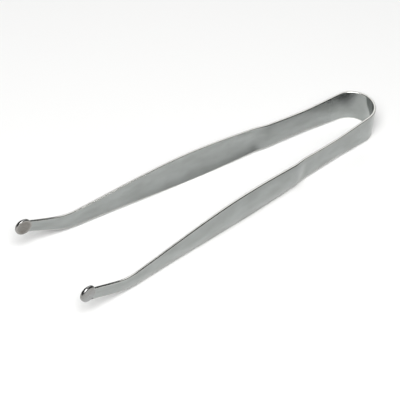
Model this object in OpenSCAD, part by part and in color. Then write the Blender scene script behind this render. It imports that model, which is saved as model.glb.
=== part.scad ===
// Spring tongs: one strip of stainless steel on its edge, bent into a bow at the back,
// with dished finger grips, raised necks and a shallow round cup pressed into each tip.
// The tips point along +X, the two arms lie on either side of the XZ plane and +Z is up.

/* [Strip] */
// Thickness of the strip
strip_t = 0.8; // [0.5:0.05:1.1]
// Length along the strip from the crown of the bow to the middle of a cup
arm_len = 128.5; // [106:0.5:155]

/* [Bow] */
// Radius of the bow, to the middle of the strip
bow_r = 7.1; // [5.6:0.1:9]
// Width of the strip at the crown of the bow
crown_w = 10.8; // [8.8:0.1:13.4]
// Angle at which each arm leaves the centre line
arm_angle = 4.9; // [3.5:0.1:6.5]
// Angle by which the walls lean outwards at the bow
bow_lean = 3; // [0:0.2:5]

/* [Spring bands] */
// Distance along the strip from the crown to the narrowest place of a band
waist_at = 26; // [20:0.5:32]
// Width of a band at its narrowest place
waist_w = 8.2; // [6.6:0.1:10]
// Height of a band's lower edge at its narrowest place
waist_low = 1.4; // [0.2:0.1:2]
// Distance along the strip from the crown to the step where a grip begins
step_at = 38.5; // [34:0.5:47]
// Length of the step
step_len = 6; // [4:0.5:8]
// How far the step moves the strip outwards
step_out = 0.45; // [0:0.05:1]

/* [Finger grips] */
// Distance along the strip from the crown to the widest place of a grip
grip_at = 65; // [56:0.5:76]
// Width of a grip at its widest place
grip_w = 11.2; // [9:0.1:14]
// Depth of the dish pressed into a grip's inner face
grip_dish = 1.1; // [0.2:0.05:1.5]

/* [Necks] */
// Length of a neck, from the end of the grip to the middle of the cup
neck_len = 26.5; // [21:0.5:32]
// Width of a neck where it meets the cup
neck_w = 4.4; // [3.6:0.1:5.2]
// Height of a neck's lower edge before it is raised
neck_low = 1; // [0.2:0.1:2]
// Length of the raised end, from its bend to the middle of the cup
raise_len = 15; // [12:0.5:18]
// Length over which the neck bends upwards
bend_len = 8; // [4.5:0.5:9]
// Angle at which the end of the neck rises
raise_angle = 22.5; // [10:0.5:28]
// Angle by which the walls lean outwards at that bend
neck_lean = 6; // [0:0.2:8]
// Depth of the dish that is left where a neck begins
neck_dish = 0.4; // [0:0.05:0.6]

/* [Jaw cups] */
// Outer diameter of a cup
cup_d = 5.6; // [4.8:0.1:7]
// Depth of a cup's hollow, from its rim to its floor
cup_hollow = 0.35; // [0.2:0.05:0.9]
// Thickness of a cup's rim wall
cup_wall = 0.5; // [0.35:0.05:0.7]

/* [Hidden] */
$fn = 64;

left = 1;
right = -1;

// Spacing of the cross-sections along a curved stretch and along a gentle one
fine_gap = 0.7;
coarse_gap = 1.7;
// Number of strips across the face of a dished stretch
dish_strips = 6;

// The bow and the flex lines of the spring, as distances along the strip from the crown
bow_half_turn = 90 - arm_angle;
bow_len = bow_r * bow_half_turn * PI / 180;
band_len = step_at - bow_len;
crown_end = bow_len / 2;
shoulder_end = bow_len + band_len / 4;
band_end = bow_len + band_len * 3 / 4;
grip_end = arm_len - neck_len;
raise_at = arm_len - raise_len;
// The neck stops a little before the cup's rounded shoulder
neck_end = arm_len - (cup_d + strip_t) / 2;

// Depth of a cup from its outer face to its rim, and the radius of its outer shoulder
cup_depth = strip_t + cup_hollow;
cup_round = cup_depth / 2;

// Directions along a spring band, and outwards from it
arm_along = [cos(arm_angle), sin(arm_angle)];
arm_out = [-sin(arm_angle), cos(arm_angle)];
bow_end = [bow_r * (1 - cos(bow_half_turn)), bow_r * sin(bow_half_turn)];

// The tongs are centred on the origin in X
crown_x = -strip_t / 2 - crown_w / 2 * tan(bow_lean);
cup_centre = arm_point(arm_len);
middle_x = (crown_x + cup_centre.x + tip_reach()) / 2;
cup_height = (top_edge(arm_len) + low_edge(arm_len)) / 2;

// How far the front of a cup reaches past its middle in X
function tip_reach() = cup_d / 2 * cos(arm_angle);

// 0 before the start of a change, 1 after its end and smooth between them
function ease(u) =
    let (c = min(max(u, 0), 1))
    c * c * (3 - 2 * c);

// A size that changes smoothly between stations, each of them [distance along the strip, size]
function between(stations, s, i = 0) =
    i == len(stations) - 2 || s <= stations[i + 1][0]
        ? let (a = stations[i], b = stations[i + 1])
          a[1] + (b[1] - a[1]) * ease((s - a[0]) / (b[0] - a[0]))
        : between(stations, s, i + 1);

// Plan of the strip: the bow is an arc, and each arm is straight apart from its step
function side_step(s) = step_out * ease((s - step_at) / step_len);
function bow_point(s) =
    let (turn = s / bow_r * 180 / PI)
    bow_r * [1 - cos(turn), sin(turn)];
function arm_point(s) = bow_end + (s - bow_len) * arm_along + side_step(s) * arm_out;
function plan_point(s) = s < bow_len ? bow_point(s) : arm_point(s);
function out_dir(s) =
    s < bow_len
        ? let (turn = s / bow_r * 180 / PI) [-cos(turn), sin(turn)]
        : arm_out;

// Rise of the neck's end: a parabola over the bend, then a straight slope
function rise(s) =
    let (u = s - raise_at + bend_len / 2, slope = tan(raise_angle))
    u < 0 ? 0
        : u < bend_len ? slope * u * u / (2 * bend_len)
        : slope * (u - bend_len / 2);

// Heights of the strip's two edges
function top_edge(s) =
    rise(s) + between([[crown_end, crown_w], [waist_at, waist_low + waist_w], [grip_at, grip_w],
                       [arm_len, neck_low + neck_w]], s);
function low_edge(s) =
    rise(s) + between([[crown_end, 0], [waist_at, waist_low], [grip_at, 0], [grip_end, neck_low]], s);

// Slope of the walls, which grows along the arm and is lost again in the raised end
function lean(s) =
    let (angle = between([[step_at, bow_lean], [raise_at, neck_lean], [neck_end, 0]], s))
    tan(angle);

// Depth of the pressed dish
function dish(s) =
    between([[step_at, 0], [step_at + step_len, grip_dish], [grip_at, grip_dish],
             [grip_end, neck_dish], [neck_end, 0]], s);

// Cross-section of the strip: up its outer face, then down its inner face
function section(s, strips) =
    let (
        d = abs(s),
        middle = (top_edge(d) + low_edge(d)) / 2,
        half_w = (top_edge(d) - low_edge(d)) / 2,
        point = plan_point(s),
        out = out_dir(s)
    )
    [for (face = [1, -1], k = [0 : strips])
        let (
            v = face * (2 * k / strips - 1),
            offset = face * strip_t / 2 + lean(d) * v * half_w + dish(d) * (1 - v * v)
        )
        [point.x + out.x * offset - middle_x, point.y + out.y * offset, middle + v * half_w]];

// A stretch of the left arm's strip, from one distance along it to another
module strip(from, to, gap, strips = 1) {
    steps = ceil((to - from) / gap);
    ring = 2 * (strips + 1);
    rings = [for (i = [0 : steps]) section(from + (to - from) * i / steps, strips)];
    walls = [
        for (i = [0 : steps - 1], k = [0 : ring - 1])
            let (a = i * ring + k, b = i * ring + (k + 1) % ring)
            [a, b, b + ring, a + ring]
    ];
    ends = [
        for (k = [0 : strips - 1])
            let (a = k, b = k + 1, c = ring - 2 - k, d = ring - 1 - k, last = steps * ring)
            each [[d, c, b, a], [last + a, last + b, last + c, last + d]]
    ];
    polyhedron([for (r = rings, p = r) p], concat(walls, ends), convexity = 6);
}

// What is made for the left arm, put on the side that is asked for
module on_side(side) {
    mirror([0, side == right ? 1 : 0, 0])
        children();
}

// The left cup's own place: its outer face on the strip's outer face, its axis pointing inwards
module at_cup() {
    outer_face = cup_centre + strip_t / 2 * arm_out;
    translate([outer_face.x - middle_x, outer_face.y, cup_height])
        rotate([0, 0, arm_angle])
            rotate([90, 0, 0])
                children();
}

// Half of a round dish's section, with a rounded shoulder
module half_dish(r, h, round) {
    square([r - round, h]);
    translate([0, round])
        square([r, h - round]);
    translate([r - round, round])
        circle(round);
}

// The flat end of the strip that the cup is drawn from
module cup_root() {
    low_side = [for (s = [neck_end, arm_len]) [s - arm_len, low_edge(s) - cup_height]];
    top_side = [for (s = [arm_len, neck_end]) [s - arm_len, top_edge(s) - cup_height]];
    linear_extrude(strip_t)
        polygon(concat(low_side, top_side));
}

module bow_crown() {
    color("silver")
        strip(-crown_end, crown_end, fine_gap);
}

module bow_shoulder(side) {
    color("silver")
        on_side(side)
            strip(crown_end, shoulder_end, fine_gap);
}

module spring_band(side) {
    color("silver")
        on_side(side)
            strip(shoulder_end, band_end, coarse_gap);
}

module finger_grip(side) {
    color("lightgray")
        on_side(side)
            strip(band_end, grip_end, coarse_gap, dish_strips);
}

module neck(side) {
    color("lightgray")
        on_side(side)
            strip(grip_end, neck_end, coarse_gap, dish_strips);
}

module jaw_cup(side) {
    color("gray")
        on_side(side)
            at_cup() {
                rotate_extrude()
                    difference() {
                        half_dish(cup_d / 2, cup_depth, cup_round);
                        translate([0, strip_t])
                            half_dish(cup_d / 2 - cup_wall, cup_depth, cup_hollow);
                    }
                cup_root();
            }
}

bow_crown();
bow_shoulder(left);  // left_bow_shoulder
bow_shoulder(right);  // right_bow_shoulder
spring_band(left);  // left_spring_band
spring_band(right);  // right_spring_band
finger_grip(left);  // left_finger_grip
finger_grip(right);  // right_finger_grip
neck(left);  // left_neck
neck(right);  // right_neck
jaw_cup(left);  // left_jaw_cup
jaw_cup(right);  // right_jaw_cup
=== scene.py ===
"""Looks of a pair of spring tongs, bent and pressed from one strip of stainless steel."""

import logging
import math
from collections.abc import Callable, Sequence
from dataclasses import dataclass, field, replace
from enum import Enum

import bmesh
import bpy
from mathutils import Matrix, Vector
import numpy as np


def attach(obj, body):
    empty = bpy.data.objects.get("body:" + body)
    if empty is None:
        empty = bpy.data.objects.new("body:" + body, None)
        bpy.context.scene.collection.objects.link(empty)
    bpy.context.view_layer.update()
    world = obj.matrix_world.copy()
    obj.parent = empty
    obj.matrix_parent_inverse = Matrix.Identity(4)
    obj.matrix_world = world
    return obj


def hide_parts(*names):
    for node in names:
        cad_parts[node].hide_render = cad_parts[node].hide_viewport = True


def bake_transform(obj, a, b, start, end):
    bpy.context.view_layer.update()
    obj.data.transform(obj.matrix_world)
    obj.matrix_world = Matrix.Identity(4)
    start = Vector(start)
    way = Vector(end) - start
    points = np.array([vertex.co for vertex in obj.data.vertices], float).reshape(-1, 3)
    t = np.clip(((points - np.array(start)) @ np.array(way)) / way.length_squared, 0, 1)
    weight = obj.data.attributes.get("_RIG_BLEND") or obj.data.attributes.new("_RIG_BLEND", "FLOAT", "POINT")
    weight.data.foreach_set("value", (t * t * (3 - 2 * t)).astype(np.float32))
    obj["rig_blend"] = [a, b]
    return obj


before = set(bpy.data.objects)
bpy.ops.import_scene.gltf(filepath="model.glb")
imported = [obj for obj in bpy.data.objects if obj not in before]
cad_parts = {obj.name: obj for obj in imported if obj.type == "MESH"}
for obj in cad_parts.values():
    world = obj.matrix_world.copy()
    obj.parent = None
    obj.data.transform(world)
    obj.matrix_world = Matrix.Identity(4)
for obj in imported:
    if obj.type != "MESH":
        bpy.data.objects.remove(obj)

LOG = logging.getLogger("tongs")
MM = 0.001
STRIP_MAP = "strip_map"
# Mark of the rims, which are smoother and carry a painted highlight.
RIM_MARK = "rim_polish_and_highlight"
# Mark of a cup's hollow, which carries painted shade.
HOLLOW_MARK = "hollow_painted_shade"
# Places closer together than this, in millimetres, are the same place.
TOUCH = 1e-4
# Spacing of the cross-sections along the bow and along the rest of the strip, in millimetres.
FINE_GAP = 0.22
COARSE_GAP = 0.4


class Side(Enum):
    """The arm that a piece belongs to, as the sign of its Y."""

    LEFT = 1
    RIGHT = -1

    @property
    def label(self) -> str:
        """The side's name as the bodies and nodes spell it."""
        return self.name.lower()


def ease(share: float) -> float:
    """Rises smoothly from 0 to 1.

    Args:
        share: how far through the change, which is held between 0 and 1.

    Returns:
        The eased share.
    """
    held = min(max(share, 0.0), 1.0)
    return held * held * (3.0 - 2.0 * held)


def between(stations: Sequence[tuple[float, float]], s: float) -> float:
    """Gives a size that changes smoothly between stations along the strip.

    Args:
        stations: pairs of distance along the strip and size there.
        s: the distance along the strip.

    Returns:
        The size at s.
    """
    start, end = stations[0], stations[1]
    for start, end in zip(stations, stations[1:]):
        if s <= end[0]:
            break
    return start[1] + (end[1] - start[1]) * ease((s - start[0]) / (end[0] - start[0]))


@dataclass(frozen=True)
class StripForm:
    """The bent and pressed strip, in millimetres: where each point of the flat blank goes.

    Attributes:
        thickness: of the sheet.
        arm_length: along the strip, from the crown to the middle of a cup.
    """

    thickness: float = 0.8
    arm_length: float = 128.5
    bow_radius: float = 7.1
    crown_width: float = 10.8
    arm_angle: float = 4.9
    bow_lean: float = 3.0
    waist_at: float = 26.0
    waist_width: float = 8.2
    waist_low: float = 1.4
    step_at: float = 38.5
    step_length: float = 6.0
    step_out: float = 0.45
    grip_at: float = 65.0
    grip_width: float = 11.2
    grip_dish: float = 1.1
    neck_length: float = 26.5
    neck_width: float = 4.4
    neck_low: float = 1.0
    raise_length: float = 15.0
    bend_length: float = 8.0
    raise_angle: float = 22.5
    neck_lean: float = 6.0
    neck_dish: float = 0.4
    cup_width: float = 5.6
    cup_hollow: float = 0.35
    cup_wall: float = 0.5

    @property
    def cup_depth(self) -> float:
        """Depth of a cup, from its outer face to its rim."""
        return self.thickness + self.cup_hollow

    @property
    def cup_shoulder(self) -> float:
        """Radius of a cup's outer shoulder."""
        return self.cup_depth / 2

    @property
    def bow_length(self) -> float:
        """Length of strip from the crown to the end of the bow."""
        return self.bow_radius * math.radians(90 - self.arm_angle)

    @property
    def crown_end(self) -> float:
        """Where the crown ends and a shoulder begins."""
        return self.bow_length / 2

    @property
    def shoulder_end(self) -> float:
        """Where a shoulder ends and a spring band begins."""
        return self.bow_length + (self.step_at - self.bow_length) / 4

    @property
    def band_end(self) -> float:
        """Where a spring band ends and the stiff part of an arm begins."""
        return self.bow_length + (self.step_at - self.bow_length) * 3 / 4

    @property
    def neck_end(self) -> float:
        """Where a neck ends, just short of the cup's shoulder."""
        return self.arm_length - (self.cup_width + self.thickness) / 2

    @property
    def grip_end(self) -> float:
        """Where a grip ends and a neck begins."""
        return self.arm_length - self.neck_length

    @property
    def raise_at(self) -> float:
        """Middle of the neck's upward bend."""
        return self.arm_length - self.raise_length

    def rise(self, s: float) -> float:
        """Height that the neck's bend has gained at s."""
        past = s - self.raise_at + self.bend_length / 2
        slope = math.tan(math.radians(self.raise_angle))
        if past < 0:
            return 0.0
        if past < self.bend_length:
            return slope * past * past / (2 * self.bend_length)
        return slope * (past - self.bend_length / 2)

    def edges(self, s: float) -> tuple[float, float]:
        """Gives the heights of the strip's two edges.

        Args:
            s: distance along the strip.

        Returns:
            The lower and the upper edge's height.
        """
        top = between(
            [
                (self.crown_end, self.crown_width),
                (self.waist_at, self.waist_low + self.waist_width),
                (self.grip_at, self.grip_width),
                (self.arm_length, self.neck_low + self.neck_width),
            ],
            s,
        )
        low = between(
            [
                (self.crown_end, 0.0),
                (self.waist_at, self.waist_low),
                (self.grip_at, 0.0),
                (self.grip_end, self.neck_low),
            ],
            s,
        )
        return self.rise(s) + low, self.rise(s) + top

    def lean(self, s: float) -> float:
        """Slope of the wall at s."""
        stations = [(self.step_at, self.bow_lean), (self.raise_at, self.neck_lean), (self.neck_end, 0.0)]
        return math.tan(math.radians(between(stations, s)))

    def dish(self, s: float) -> float:
        """Depth of the pressed dish at s."""
        stations = [
            (self.step_at, 0.0),
            (self.step_at + self.step_length, self.grip_dish),
            (self.grip_at, self.grip_dish),
            (self.grip_end, self.neck_dish),
            (self.neck_end, 0.0),
        ]
        return between(stations, s)

    def along(self) -> Vector:
        """Direction of the left arm."""
        angle = math.radians(self.arm_angle)
        return Vector((math.cos(angle), math.sin(angle), 0))

    def outward(self, s: float) -> Vector:
        """Direction out of the strip's outer face at s."""
        if abs(s) < self.bow_length:
            turn = s / self.bow_radius
            return Vector((-math.cos(turn), math.sin(turn), 0))
        across = self.along()
        return Vector((-across.y, across.x, 0))

    def plan(self, s: float) -> Vector:
        """Place of the strip's middle line at s, before the strip is centred."""
        turn = min(s, self.bow_length) / self.bow_radius
        place = self.bow_radius * Vector((1 - math.cos(turn), math.sin(turn), 0))
        if s <= self.bow_length:
            return place
        shift = self.step_out * ease((s - self.step_at) / self.step_length)
        return place + (s - self.bow_length) * self.along() + shift * self.outward(s)

    @property
    def centring(self) -> float:
        """X that the middle of the tongs has before they are centred."""
        crown = -self.thickness / 2 - self.crown_width / 2 * math.tan(math.radians(self.bow_lean))
        return (crown + self.plan(self.arm_length).x + self.cup_width / 2 * self.along().x) / 2

    def place(self, s: float, height: float, depth: float) -> Vector:
        """Puts a point of the blank where pressing and bending take it.

        Args:
            s: distance along the strip from the crown.
            height: above the middle of the strip's width.
            depth: outwards from the middle of the sheet.

        Returns:
            The point on the left arm, in metres.
        """
        low, top = self.edges(abs(s))
        share = height / ((top - low) / 2)
        offset = depth + self.lean(abs(s)) * height + self.dish(abs(s)) * (1 - share * share)
        point = self.plan(s) + self.outward(s) * offset
        return Vector((point.x - self.centring, point.y, (low + top) / 2 + height)) * MM

    def cup_frame(self) -> Matrix:
        """Gives the left cup's own frame: origin on its outer face, Z inwards, X along the arm."""
        low, top = self.edges(self.arm_length)
        centre = self.plan(self.arm_length) + self.thickness / 2 * self.outward(self.arm_length)
        along, inward = self.along(), -self.outward(self.arm_length)
        turn = Matrix((along, Vector((0, 0, 1)), inward)).transposed().to_4x4()
        origin = Vector((centre.x - self.centring, centre.y, (low + top) / 2))
        return Matrix.Translation(origin) @ turn


FORM = StripForm()


def linear(hex_colour: str) -> tuple[float, float, float, float]:
    """Turns an sRGB hex colour to linear light.

    Args:
        hex_colour: such as "#a0a4a6".

    Returns:
        Linear red, green and blue, with an alpha of 1.
    """
    parts = [int(hex_colour[i : i + 2], 16) / 255 for i in (1, 3, 5)]
    red, green, blue = [c / 12.92 if c <= 0.04045 else ((c + 0.055) / 1.055) ** 2.4 for c in parts]
    return red, green, blue, 1.0


def node(
    tree: bpy.types.NodeTree, kind: str, settings: dict | None = None, links: dict | None = None
) -> bpy.types.Node:
    """Adds one node with its settings and links.

    Args:
        tree: the node tree that it joins.
        kind: the node's type name.
        settings: attributes by name, and input values by socket name or number.
        links: output sockets by the name or number of the input that they feed.

    Returns:
        The new node.
    """
    made = tree.nodes.new(kind)
    for key, value in (settings or {}).items():
        if isinstance(key, str) and key not in made.inputs and hasattr(made, key):
            setattr(made, key, value)
        else:
            made.inputs[key].default_value = value
    for key, socket in (links or {}).items():
        tree.links.new(socket, made.inputs[key])
    return made


@dataclass(frozen=True)
class BrushedSteel:
    """Cold-rolled 304 stainless, satin ground along the strip and then tumbled.

    The grinding leaves fine lines along the strip that spread a reflection across them, so a face
    shows soft bands of light and dark that run along it. The tumbling leaves the rims smoother than
    the faces, and their lighter colour is a painted highlight.
    """

    name: str
    slot: str
    face: str
    shade: str
    # Lighter colour of the rims: a painted highlight.
    rim: str
    roughness: float
    roughness_range: float
    anisotropy: float
    line_spacing: float
    line_length: float
    line_depth: float
    handling: float
    bright_share: float = 0.55
    # Brownish grey towards which a cup's hollow is darkened: painted shade.
    film: str = "#6f6a63"

    # Rolling leaves the first 7 mm from the crown brighter, and the satin is full from 16 mm on. Both
    # are in centimetres, like the strip map.
    BRIGHT_TO = 0.7
    SATIN_FROM = 1.6
    # Share of a face's roughness that tumbling leaves on a rim.
    RIM_POLISH = 0.7
    # The part of a noise's range in which most of it lies.
    NOISE_LOW = 0.35
    NOISE_HIGH = 0.65
    # Share of its colour that the painted shade in a cup's hollow has where it is faintest and where it is
    # strongest.
    HOLLOW_SHADE_FAINT = 0.45
    HOLLOW_SHADE_STRONG = 0.85

    def build(self) -> bpy.types.Material:
        """Makes the material.

        Returns:
            A material that reads the piece's own strip map and its rim mark.
        """
        material = bpy.data.materials.new(self.name)
        material.use_nodes = True
        tree = material.node_tree
        tree.nodes.clear()
        strip = node(tree, "ShaderNodeUVMap", {"uv_map": STRIP_MAP}).outputs["UV"]
        # The map is in centimetres, so a spacing in millimetres is a frequency of 10 / spacing.
        line_scale = (10 / self.line_length, 10 / self.line_spacing, 1)
        lines_map = node(tree, "ShaderNodeMapping", {"Scale": line_scale}, {"Vector": strip}).outputs[0]
        lines = node(
            tree, "ShaderNodeTexNoise", {"Scale": 1.0, "Detail": 3.0, "Roughness": 0.6}, {"Vector": lines_map}
        ).outputs["Fac"]
        # Sheet varies slowly in tone over about 8 mm along the rolling direction and 4 mm across it.
        cloud_map = node(tree, "ShaderNodeMapping", {"Scale": (1.2, 2.4, 1)}, {"Vector": strip}).outputs[0]
        clouds = node(
            tree, "ShaderNodeTexNoise", {"Scale": 1.0, "Detail": 2.0}, {"Vector": cloud_map}
        ).outputs["Fac"]
        # Wiping and handling leave smears about 5 mm long and 3 mm across.
        smear_map = node(tree, "ShaderNodeMapping", {"Scale": (2.0, 3.6, 1)}, {"Vector": strip}).outputs[0]
        smear_noise = {"Scale": 1.0, "Detail": 4.0, "Distortion": 0.6}
        smears = node(tree, "ShaderNodeTexNoise", smear_noise, {"Vector": smear_map}).outputs["Fac"]
        tone = node(
            tree,
            "ShaderNodeMix",
            {"data_type": "RGBA", 6: linear(self.shade), 7: linear(self.face)},
            {0: self._stretch(tree, clouds, self.NOISE_LOW, self.NOISE_HIGH, 0.0, 1.0)},
        ).outputs[2]
        rim_mark = node(tree, "ShaderNodeAttribute", {"attribute_name": RIM_MARK}).outputs["Fac"]
        # A cup's hollow is darkened in patches towards a brownish grey: painted shade in the recess.
        marked = node(tree, "ShaderNodeAttribute", {"attribute_name": HOLLOW_MARK}).outputs["Fac"]
        patchy = self._stretch(
            tree, smears, self.NOISE_LOW, self.NOISE_HIGH, self.HOLLOW_SHADE_FAINT, self.HOLLOW_SHADE_STRONG
        )
        hollow = node(tree, "ShaderNodeMath", {"operation": "MULTIPLY"}, {0: marked, 1: patchy}).outputs[0]
        hollow_shaded = node(
            tree, "ShaderNodeMix", {"data_type": "RGBA", 7: linear(self.film)}, {0: hollow, 6: tone}
        ).outputs[2]
        # The rims are mixed towards the rim colour: a painted highlight.
        rim_highlighted = node(
            tree, "ShaderNodeMix", {"data_type": "RGBA", 7: linear(self.rim)}, {0: rim_mark, 6: hollow_shaded}
        ).outputs[2]
        along = node(tree, "ShaderNodeSeparateXYZ", {}, {"Vector": strip}).outputs["X"]
        from_crown = node(tree, "ShaderNodeMath", {"operation": "ABSOLUTE"}, {0: along}).outputs[0]
        satin = self._stretch(tree, from_crown, self.BRIGHT_TO, self.SATIN_FROM, self.bright_share, 1.0)
        half = self.roughness_range / 2
        ground = self._stretch(tree, lines, 0.3, 0.7, self.roughness - half, self.roughness + half)
        smear_gain = {"operation": "MULTIPLY_ADD", 1: self.handling, 2: -self.handling / 2}
        smeared = node(tree, "ShaderNodeMath", smear_gain, {0: smears}).outputs[0]
        satined = node(tree, "ShaderNodeMath", {"operation": "MULTIPLY"}, {0: ground, 1: satin}).outputs[0]
        rough = node(tree, "ShaderNodeMath", {"operation": "ADD"}, {0: satined, 1: smeared}).outputs[0]
        rim_mix = {"data_type": "FLOAT", 3: self.roughness * self.RIM_POLISH}
        rim_rough = node(tree, "ShaderNodeMix", rim_mix, {0: rim_mark, 2: rough}).outputs[0]
        bump = node(
            tree, "ShaderNodeBump", {"Strength": 1.0, "Distance": self.line_depth * MM}, {"Height": lines}
        ).outputs[0]
        tangent = node(
            tree, "ShaderNodeTangent", {"direction_type": "UV_MAP", "uv_map": STRIP_MAP}
        ).outputs[0]
        shader = node(
            tree,
            "ShaderNodeBsdfPrincipled",
            {"Metallic": 1.0, "Anisotropic": self.anisotropy, "Anisotropic Rotation": 0.25},
            {"Base Color": rim_highlighted, "Roughness": rim_rough, "Normal": bump, "Tangent": tangent},
        )
        node(tree, "ShaderNodeOutputMaterial", {}, {"Surface": shader.outputs[0]})
        return material

    @staticmethod
    def _stretch(
        tree: bpy.types.NodeTree,
        value: bpy.types.NodeSocket,
        low: float,
        high: float,
        to_low: float,
        to_high: float,
    ) -> bpy.types.NodeSocket:
        """Maps a value from one range to another and holds it there."""
        ranges = {"From Min": low, "From Max": high, "To Min": to_low, "To Max": to_high}
        return node(tree, "ShaderNodeMapRange", ranges, {0: value}).outputs[0]


# Satin-ground strip: a soft mid grey, in which a reflection blurs more across the strip than along it.
ARM_STEEL = BrushedSteel(
    name="satin_ground_stainless",
    slot="arm_steel",
    face="#a2a5a4",
    shade="#979a98",
    # The rim colour is a painted highlight along the rounded rims.
    rim="#cfcfcb",
    roughness=0.3,
    roughness_range=0.05,
    anisotropy=0.4,
    line_spacing=0.22,
    line_length=12.0,
    line_depth=0.003,
    handling=0.05,
)
# The same strip, which the eye sees as brighter at the bow, because the satin fades out towards the crown.
BOW_STEEL = replace(ARM_STEEL, name="bright_rolled_stainless", slot="bow_steel")
# Pressed steel, polished by the tool: its shoulder shows small sharp lights and darks.
CUP_STEEL = BrushedSteel(
    name="pressed_polished_stainless",
    slot="cup_steel",
    face="#9c9d9d",
    shade="#908f8d",
    # The rim colour is a painted highlight on the cup's lip.
    rim="#bfbbb6",
    roughness=0.27,
    roughness_range=0.08,
    anisotropy=0.0,
    line_spacing=0.4,
    line_length=2.0,
    line_depth=0.002,
    handling=0.05,
    bright_share=1.0,
)


@dataclass(frozen=True)
class Finishes:
    """The three finishes of the strip: bright at the bow, satin on the arms, polished in the cups."""

    bow: BrushedSteel = BOW_STEEL
    arm: BrushedSteel = ARM_STEEL
    cup: BrushedSteel = CUP_STEEL


def finish_piece(
    bm: bmesh.types.BMesh, name: str, material: bpy.types.Material
) -> bpy.types.Object:
    """Turns a finished bmesh into an object of the scene.

    Args:
        bm: the mesh, in metres and in its place; it is freed.
        name: the piece's name.
        material: what it is made of.

    Returns:
        The new object, at the origin.
    """
    mesh = bpy.data.meshes.new(name)
    for face in bm.faces:
        face.smooth = True
    bm.to_mesh(mesh)
    bm.free()
    piece = bpy.data.objects.new(name, mesh)
    bpy.context.scene.collection.objects.link(piece)
    piece.data.materials.append(material)
    return piece


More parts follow.
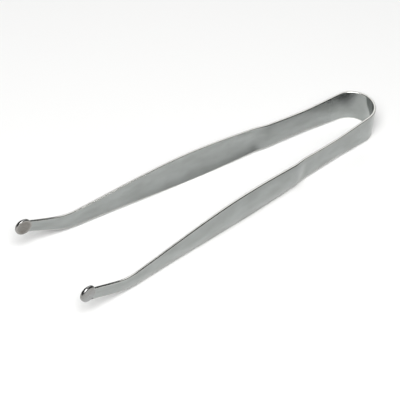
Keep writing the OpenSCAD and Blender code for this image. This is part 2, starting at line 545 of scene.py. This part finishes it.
@dataclass
class StripStretch:
    """A stretch of the strip, cut as a flat blank with tumbled rims, then pressed and bent.

    Attributes:
        start: distance along the strip where it starts.
        end: distance along the strip where it ends.
    """

    name: str
    start: float
    end: float
    side: Side = Side.LEFT
    gap: float = 0.5
    rows: int = 24
    rim_radius: float = 0.22
    cap_gap: float = 0.02
    form: StripForm = field(default=FORM)
    tip: Callable[[float, float], float] | None = None

    BLANK_WIDTH = 10.0
    # The inner face takes its pattern from another part of the sheet.
    BACK_SHIFT = 40.0
    # How far in from a rounded rim its polish and painted highlight reach.
    RIM_MARK_REACH = 0.1

    def build(self, material: bpy.types.Material, slot: str) -> bpy.types.Object:
        """Makes the stretch.

        Args:
            material: its finish.
            slot: not used.

        Returns:
            The finished piece.
        """
        bm = self._blank()
        self._round_rims(bm)
        self._map(bm)
        self._mark_caps(bm)
        for vert in bm.verts:
            vert.co = self._formed(vert.co)
        if self.side is Side.RIGHT:
            bmesh.ops.scale(bm, vec=(1, -1, 1), verts=bm.verts)
            bmesh.ops.reverse_faces(bm, faces=bm.faces)
        return finish_piece(bm, self.name, material)

    def _blank(self) -> bmesh.types.BMesh:
        """Cuts the flat blank, in millimetres: X along the strip, Y across it, Z outwards."""
        columns = max(6, math.ceil((self.end - self.start) / self.gap))
        bm = bmesh.new()
        bmesh.ops.create_grid(bm, x_segments=columns, y_segments=self.rows, size=0.5)
        bmesh.ops.scale(bm, vec=(columns, self.BLANK_WIDTH, 1), verts=bm.verts)
        bmesh.ops.translate(bm, vec=(columns / 2, 0, self.form.thickness / 2), verts=bm.verts)
        span = self.end - self.start - 2 * self.cap_gap
        for vert in bm.verts:
            column = round(vert.co.x)
            inner = self.start + self.cap_gap + span * (column - 1) / (columns - 2)
            vert.co.x = self.start if column == 0 else self.end if column == columns else inner
        walls = bmesh.ops.extrude_face_region(bm, geom=list(bm.faces))
        under = [v for v in walls["geom"] if isinstance(v, bmesh.types.BMVert)]
        bmesh.ops.translate(bm, vec=(0, 0, -self.form.thickness), verts=under)
        bmesh.ops.recalc_face_normals(bm, faces=bm.faces)
        return bm

    def _round_rims(self, bm: bmesh.types.BMesh) -> None:
        """Tumbles the long rims of the blank round."""
        half_t, half_w = self.form.thickness / 2, self.BLANK_WIDTH / 2
        rims = [
            edge
            for edge in bm.edges
            if all(
                abs(abs(v.co.z) - half_t) < TOUCH and abs(abs(v.co.y) - half_w) < TOUCH for v in edge.verts
            )
            and abs(edge.verts[0].co.y - edge.verts[1].co.y) < TOUCH
            and abs(edge.verts[0].co.z - edge.verts[1].co.z) < TOUCH
        ]
        bmesh.ops.bevel(
            bm,
            geom=rims,
            offset=self.rim_radius,
            affect="EDGES",
            segments=5,
            profile=0.5,
            material=-1,
            clamp_overlap=False,
        )

    def _map(self, bm: bmesh.types.BMesh) -> None:
        """Writes the strip map, in centimetres along and across the strip, and marks the rims, which are
        smoother and carry a painted highlight.
        """
        layer = bm.loops.layers.uv.new(STRIP_MAP)
        mark = bm.verts.layers.float.new(RIM_MARK)
        reach = self.BLANK_WIDTH / 2 - self.rim_radius
        # The mark makes the rims smoother and lightens their colour as a painted highlight.
        for vert in bm.verts:
            vert[mark] = ease((abs(vert.co.y) - reach + self.RIM_MARK_REACH) / self.rim_radius)
        for face in bm.faces:
            back = self.BACK_SHIFT if face.normal.z < -0.5 else 0.0
            for loop in face.loops:
                co = loop.vert.co
                loop[layer].uv = (self.side.value * co.x / 10, (co.y + co.z) / 10 + back)

    def _mark_caps(self, bm: bmesh.types.BMesh) -> None:
        """Splits the shading at the two cut ends, so that neighbours meet without a line."""
        ends = [e for e in bm.edges if self._on_cap(e) and len(e.link_faces) == 2]
        for edge in ends:
            inside = [all(self._at_cut(v.co.x) for v in f.verts) for f in edge.link_faces]
            edge.smooth = inside[0] == inside[1]

    def _on_cap(self, edge: bmesh.types.BMEdge) -> bool:
        """Whether an edge lies in one of the cut ends."""
        return all(self._at_cut(v.co.x) for v in edge.verts)

    def _at_cut(self, s: float) -> bool:
        """Whether a distance along the strip is that of a cut end."""
        return min(abs(s - self.start), abs(s - self.end)) < TOUCH

    def _formed(self, flat: Vector) -> Vector:
        """Takes a point of the flat blank to its place on the left arm.

        Args:
            flat: the point on the blank, in millimetres.

        Returns:
            The point in metres.
        """
        margin = 2 * self.rim_radius
        s = flat.x
        low, top = self.form.edges(abs(s))
        half = (top - low) / 2
        inner = self.BLANK_WIDTH / 2 - margin
        if abs(flat.y) <= inner:
            height = flat.y / inner * (half - margin)
        else:
            height = math.copysign(half - (self.BLANK_WIDTH / 2 - abs(flat.y)), flat.y)
        if self.tip is not None:
            s = self.tip(s, height)
        return self.form.place(s, height, flat.z)


@dataclass
class Cup:
    """The shallow round cup drawn into the end of an arm, with a rounded shoulder and lip."""

    side: Side
    lip: float = 0.24
    lip_turn: int = 20
    clearance: float = 0.003
    around: int = 112
    form: StripForm = field(default=FORM)

    # Rings on the flat of the outer face and on the floor, as shares of their radii.
    FACE_RINGS = (0.0, 0.35, 0.7, 0.93)
    FLOOR_RINGS = (0.95, 0.9, 0.84, 0.77, 0.69, 0.6, 0.5, 0.38, 0.22, 0.0)
    # Strength of the lip's polish and painted highlight and how far down it goes, and the width over which
    # the hollow's painted shade fades at the wall.
    LIP_POLISH_AND_HIGHLIGHT = 0.3
    LIP_REACH = 0.25
    FILM_FADE = 0.6
    FLOOR_SLACK = 0.01

    def build(self, material: bpy.types.Material, slot: str) -> bpy.types.Object:
        """Spins the cup about its own axis and puts it on its arm.

        Args:
            material: its finish.
            slot: not used.

        Returns:
            The finished piece.
        """
        bm = bmesh.new()
        points = self._profile()
        verts = [bm.verts.new((r, 0, h)) for r, h in points]
        edges = [bm.edges.new(pair) for pair in zip(verts, verts[1:])]
        bmesh.ops.spin(
            bm,
            geom=verts + edges,
            cent=(0, 0, 0),
            axis=(0, 0, 1),
            angle=2 * math.pi,
            steps=self.around,
            use_merge=True,
        )
        bmesh.ops.remove_doubles(bm, verts=bm.verts, dist=TOUCH)
        bmesh.ops.recalc_face_normals(bm, faces=bm.faces)
        self._map(bm)
        bmesh.ops.transform(bm, matrix=Matrix.Scale(MM, 4) @ self.form.cup_frame(), verts=bm.verts)
        if self.side is Side.RIGHT:
            bmesh.ops.scale(bm, vec=(1, -1, 1), verts=bm.verts)
            bmesh.ops.reverse_faces(bm, faces=bm.faces)
        return finish_piece(bm, f"{self.side.label}_cup", material)

    def _profile(self) -> list[tuple[float, float]]:
        """Half of the cup's section.

        Returns:
            Radius and height pairs, from the middle of the outer face to the middle of the floor.
        """
        form = self.form
        radius, shoulder = form.cup_width / 2 - self.clearance, form.cup_shoulder
        rim_height = form.cup_depth - self.lip
        points = [(share * (radius - shoulder), 0.0) for share in self.FACE_RINGS]
        points += self._arc(radius - shoulder, shoulder, shoulder, -90, 0, 12)
        points += self._arc(radius - self.lip, rim_height, self.lip, 0, 90, 7)
        bore = radius - form.cup_wall
        points += self._arc(bore + self.lip, rim_height, self.lip, 90, 90 + self.lip_turn, 3)
        edge_radius, edge_height = points[-1]
        points += [
            (share * edge_radius, form.thickness + (edge_height - form.thickness) * share**3)
            for share in self.FLOOR_RINGS
        ]
        return points

    @staticmethod
    def _arc(
        r: float, h: float, radius: float, start: int, end: int, steps: int
    ) -> list[tuple[float, float]]:
        """Points of a round corner about (r, h), from one angle in degrees to another."""
        turns = [math.radians(start + (end - start) * i / steps) for i in range(steps + 1)]
        return [(r + radius * math.cos(a), h + radius * math.sin(a)) for a in turns]

    def _map(self, bm: bmesh.types.BMesh) -> None:
        """Writes the cup's map, in centimetres, and marks its lip, which is smoother and carries a painted
        highlight, and its hollow, which carries painted shade.
        """
        layer = bm.loops.layers.uv.new(STRIP_MAP)
        mark = bm.verts.layers.float.new(RIM_MARK)
        film = bm.verts.layers.float.new(HOLLOW_MARK)
        for vert in bm.verts:
            # The lip is made smoother and lighter in colour: a painted highlight.
            from_lip = vert.co.z - self.form.cup_depth
            vert[mark] = self.LIP_POLISH_AND_HIGHLIGHT * ease((from_lip + self.LIP_REACH) / self.LIP_REACH)
            # The hollow is marked for painted shade, which fades out at the wall.
            from_wall = self.form.cup_width / 2 - vert.co.xy.length
            above_floor = vert.co.z > self.form.thickness - self.FLOOR_SLACK
            vert[film] = ease(from_wall / self.FILM_FADE) if above_floor else 0.0
        for face in bm.faces:
            for loop in face.loops:
                co = loop.vert.co
                loop[layer].uv = (co.x / 10 + co.z / 20, co.y / 10 + co.z / 20)


@dataclass
class Bow:
    """The crown of the bow, which the hand holds still while the arms close."""

    finishes: Finishes
    form: StripForm = field(default=FORM)

    def build(self, steels: dict[str, bpy.types.Material]) -> list[bpy.types.Object]:
        """Makes the crown's piece and lets it stand for its node.

        Args:
            steels: the finishes by slot.

        Returns:
            The pieces made.
        """
        reach = self.form.crown_end / 2
        slot = self.finishes.bow.slot
        crown = StripStretch("crown_strip", -reach, reach, gap=FINE_GAP).build(steels[slot], slot)
        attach(crown, "crown")
        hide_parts("bow_crown")
        return [crown]


@dataclass
class Arm:
    """One arm: the springy stretches that bend as it closes, the grip and neck, and the cup."""

    side: Side
    finishes: Finishes
    form: StripForm = field(default=FORM)

    # The strip's end is drawn over its last 4 mm, and stops just outside the flat of the cup's face.
    DRAWN = 4.0
    TIP_GAP = 0.04
    # Steps in which the end's place and its height on the slope are brought together.
    SOLVE_STEPS = 6

    def build(self, steels: dict[str, bpy.types.Material]) -> list[bpy.types.Object]:
        """Makes the arm's pieces, each on its body or bending between two.

        Args:
            steels: the finishes by slot.

        Returns:
            The pieces made.
        """
        form, name = self.form, self.side.label
        mid_shoulder = (form.crown_end + form.shoulder_end) / 2
        mid_band = (form.shoulder_end + form.band_end) / 2
        bow, arm = self.finishes.bow.slot, self.finishes.arm.slot
        shoulder = self._bending(
            "shoulder_strip", form.crown_end / 2, mid_shoulder, FINE_GAP, steels[bow], bow
        )
        self._bend(shoulder, "crown", f"{name}_shoulder", form.crown_end / 2, mid_shoulder)
        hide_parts(f"{name}_bow_shoulder")
        band = self._bending("band_strip", mid_shoulder, mid_band, COARSE_GAP, steels[arm], arm)
        self._bend(band, f"{name}_shoulder", f"{name}_band", mid_shoulder, mid_band)
        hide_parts(f"{name}_spring_band")
        root = self._bending("root_strip", mid_band, form.step_at, COARSE_GAP, steels[arm], arm)
        self._bend(root, f"{name}_band", f"{name}_arm", mid_band, form.step_at)
        grip = StripStretch(
            f"{name}_grip_strip",
            form.step_at,
            form.arm_length - form.cup_width / 2,
            side=self.side,
            gap=COARSE_GAP,
            tip=self._tip,
        ).build(steels[arm], arm)
        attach(grip, f"{name}_arm")
        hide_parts(f"{name}_finger_grip", f"{name}_neck")
        cup = Cup(self.side).build(steels[self.finishes.cup.slot], self.finishes.cup.slot)
        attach(cup, f"{name}_arm")
        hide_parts(f"{name}_jaw_cup")
        return [shoulder, band, root, grip, cup]

    def _bending(
        self, name: str, start: float, end: float, gap: float, steel: bpy.types.Material, slot: str
    ) -> bpy.types.Object:
        """Makes a springy stretch of this side."""
        stretch = StripStretch(f"{self.side.label}_{name}", start, end, side=self.side, gap=gap)
        return stretch.build(steel, slot)

    def _bend(self, piece: bpy.types.Object, fixed: str, moving: str, start: float, end: float) -> None:
        """Lets a stretch bend smoothly from one body to the next."""
        points = []
        for s in (start, end):
            low, top = self.form.edges(s)
            point = self.form.plan(s)
            x, y, z = point.x - self.form.centring, self.side.value * point.y, (low + top) / 2
            points.append((x * MM, y * MM, z * MM))
        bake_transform(piece, fixed, moving, start=points[0], end=points[1])

    def _tip(self, s: float, height: float) -> float:
        """Draws the blank's end into the round of the cup's shoulder.

        Args:
            s: distance along the strip before it is drawn.
            height: above the middle of the strip.

        Returns:
            The distance along the strip afterwards.
        """
        form = self.form
        slope = math.tan(math.radians(form.raise_angle))
        reach = form.cup_width / 2 - form.cup_shoulder + self.TIP_GAP
        back = reach
        for _ in range(self.SOLVE_STEPS):
            across = height - slope * back
            back = math.sqrt(max(reach * reach - across * across, 0.0))
        blank_end = form.arm_length - form.cup_width / 2
        return s + ease((s - blank_end + self.DRAWN) / self.DRAWN) * (form.arm_length - back - blank_end)


@dataclass(frozen=True)
class PaleFloor:
    """A plain sheet of matt white board, which gives the steel its light from below."""

    reach: float = 1.6
    tone: str = "#f6f6f5"

    def build(self) -> bpy.types.Object:
        """Lays the floor under the tongs.

        Returns:
            The floor, which isn't part of the object.
        """
        bm = bmesh.new()
        bmesh.ops.create_circle(bm, cap_ends=True, radius=self.reach, segments=96)
        bmesh.ops.translate(bm, vec=(0, 0, -0.00002), verts=bm.verts)
        mesh = bpy.data.meshes.new("floor")
        bm.to_mesh(mesh)
        bm.free()
        floor = bpy.data.objects.new("floor", mesh)
        bpy.context.scene.collection.objects.link(floor)
        material = bpy.data.materials.new("matt_white_board")
        material.use_nodes = True
        tree = material.node_tree
        tree.nodes.clear()
        # Board grain of about 2 mm, too faint to see as more than a soft surface.
        grain = node(
            tree,
            "ShaderNodeTexNoise",
            {"Scale": 500.0, "Detail": 2.0},
            {"Vector": node(tree, "ShaderNodeTexCoord").outputs["Object"]},
        ).outputs["Fac"]
        bump = node(
            tree, "ShaderNodeBump", {"Strength": 0.05, "Distance": 0.0001}, {"Height": grain}
        ).outputs[0]
        shader = node(
            tree,
            "ShaderNodeBsdfPrincipled",
            {"Base Color": linear(self.tone), "Roughness": 0.9, "Specular IOR Level": 0.2},
            {"Normal": bump},
        )
        node(tree, "ShaderNodeOutputMaterial", {}, {"Surface": shader.outputs[0]})
        mesh.materials.append(material)
        return floor


@dataclass(frozen=True)
class Softbox:
    """One soft studio light."""

    name: str
    place: tuple[float, float, float]
    aim: tuple[float, float, float]
    width: float
    height: float
    power: float
    tone: str = "#ffffff"

    def build(self) -> bpy.types.Object:
        """Hangs the light and turns it to its aim.

        Returns:
            The light.
        """
        data = bpy.data.lights.new(self.name, "AREA")
        data.shape = "RECTANGLE"
        data.size, data.size_y = self.width, self.height
        data.energy = self.power
        data.color = linear(self.tone)[:3]
        light = bpy.data.objects.new(self.name, data)
        bpy.context.scene.collection.objects.link(light)
        light.location = self.place
        light.rotation_euler = (Vector(self.aim) - Vector(self.place)).to_track_quat("-Z", "Y").to_euler()
        return light


@dataclass(frozen=True)
class Studio:
    """Floor, soft lights, the grey of the room and the camera.

    Attributes:
        azimuth: of the camera, in degrees from +X towards +Y.
        distance: from the target to the camera, in millimetres.
        target: the point that the camera looks at, in millimetres.
    """

    room: str = "#2c2d2e"
    room_strength: float = 1.0
    azimuth: float = 51.792
    elevation: float = 43.947
    roll: float = 1.594
    distance: float = 600.0
    lens: float = 171.93
    target: tuple[float, float, float] = (7.125, 1.072, 4.7)

    def build(self) -> None:
        """Sets the studio up round the tongs."""
        PaleFloor().build()
        Softbox(
            "front_softbox", place=(0.27, 0.34, 0.75), aim=(0, 0, 0), width=0.6, height=0.6, power=10.0
        ).build()
        Softbox(
            "back_softbox", place=(-0.5, -0.6, 0.72), aim=(0, 0, 0), width=0.8, height=0.6, power=2.0
        ).build()
        world = bpy.data.worlds.new("grey_room")
        bpy.context.scene.world = world
        world.use_nodes = True
        tree = world.node_tree
        tree.nodes.clear()
        glow = {"Color": linear(self.room), "Strength": self.room_strength}
        room = node(tree, "ShaderNodeBackground", glow)
        node(tree, "ShaderNodeOutputWorld", {}, {"Surface": room.outputs[0]})
        bpy.context.scene.view_settings.view_transform = "Standard"
        self._camera()

    def _camera(self) -> bpy.types.Object:
        """Makes the scene's camera.

        Returns:
            The camera, looking at the target from its azimuth and elevation.
        """
        turn, tilt, roll = (math.radians(a) for a in (self.azimuth, self.elevation, self.roll))
        back = Vector((math.cos(tilt) * math.cos(turn), math.cos(tilt) * math.sin(turn), math.sin(tilt)))
        right = (-back).cross(Vector((0, 0, 1))).normalized()
        up = right.cross(-back)
        across = math.cos(roll) * right + math.sin(roll) * up
        upward = -math.sin(roll) * right + math.cos(roll) * up
        data = bpy.data.cameras.new("camera")
        data.sensor_width, data.lens = 36.0, self.lens
        data.clip_start, data.clip_end = 0.01, 10.0
        camera = bpy.data.objects.new("camera", data)
        bpy.context.scene.collection.objects.link(camera)
        place = (Vector(self.target) + self.distance * back) * MM
        camera.matrix_world = Matrix.Translation(place) @ Matrix((across, upward, back)).transposed().to_4x4()
        bpy.context.scene.camera = camera
        return camera


def main() -> None:
    """Builds the tongs and the studio."""
    logging.basicConfig(level=logging.INFO, format="%(name)s: %(message)s")
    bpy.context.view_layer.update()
    finishes = Finishes()
    steels = {steel.slot: steel.build() for steel in (finishes.bow, finishes.arm, finishes.cup)}
    assemblies = [Bow(finishes), Arm(Side.LEFT, finishes), Arm(Side.RIGHT, finishes)]
    for assembly in assemblies:
        for piece in assembly.build(steels):
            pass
    Studio().build()


if __name__ == "__main__":
    main()
